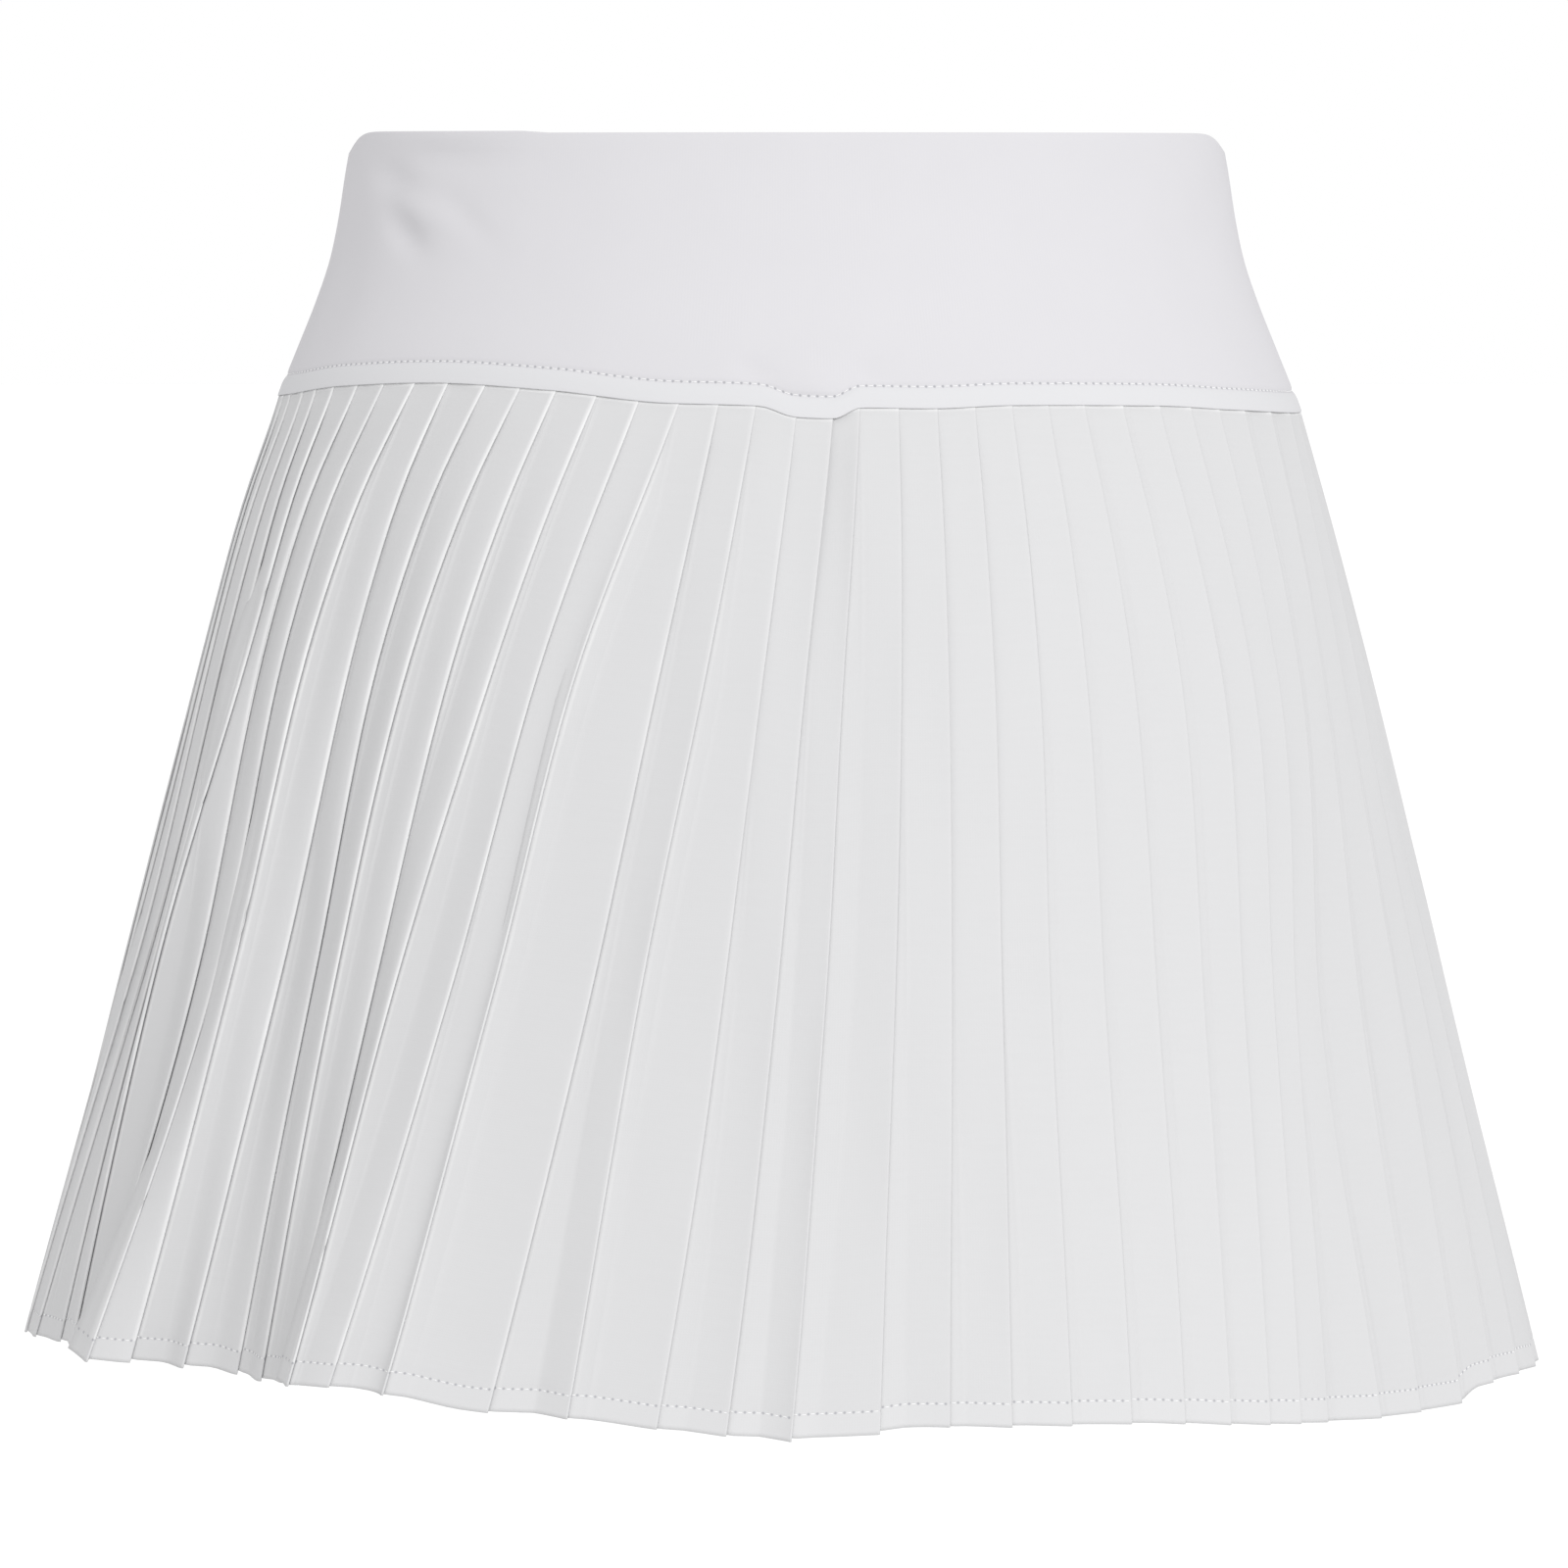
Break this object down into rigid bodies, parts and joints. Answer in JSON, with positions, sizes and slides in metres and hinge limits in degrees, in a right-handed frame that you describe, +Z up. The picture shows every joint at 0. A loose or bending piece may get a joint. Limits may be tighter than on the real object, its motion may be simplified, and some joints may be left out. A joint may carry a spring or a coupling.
{
  "type": "pleated tennis skirt",
  "caption": "Short knife-pleated tennis skirt in white, worn shape with no wearer: a smooth hip yoke with a topstitched seam band over pleated cloth that flares to a stitched hem.",
  "frame": {"origin": "centre of the waist edge, where the wearer's waist holds the skirt", "axes": "+Z up out of the waist, -Y to the wearer's front, +X to the wearer's left, across the skirt's widest way"},
  "size_m": [0.4334, 0.3887, 0.3507],
  "materials": {
    "yoke_jersey": "smooth dense white jersey, matt",
    "pleated_cloth": "white plain-woven polyester, heat-set pleats, soft sheen"
  },
  "bodies": {
    "root": {"yoke_front": "yoke_jersey", "yoke_back": "yoke_jersey", "pleated_width_left": "pleated_cloth", "pleated_width_right": "pleated_cloth"}
  },
  "joints": []
}
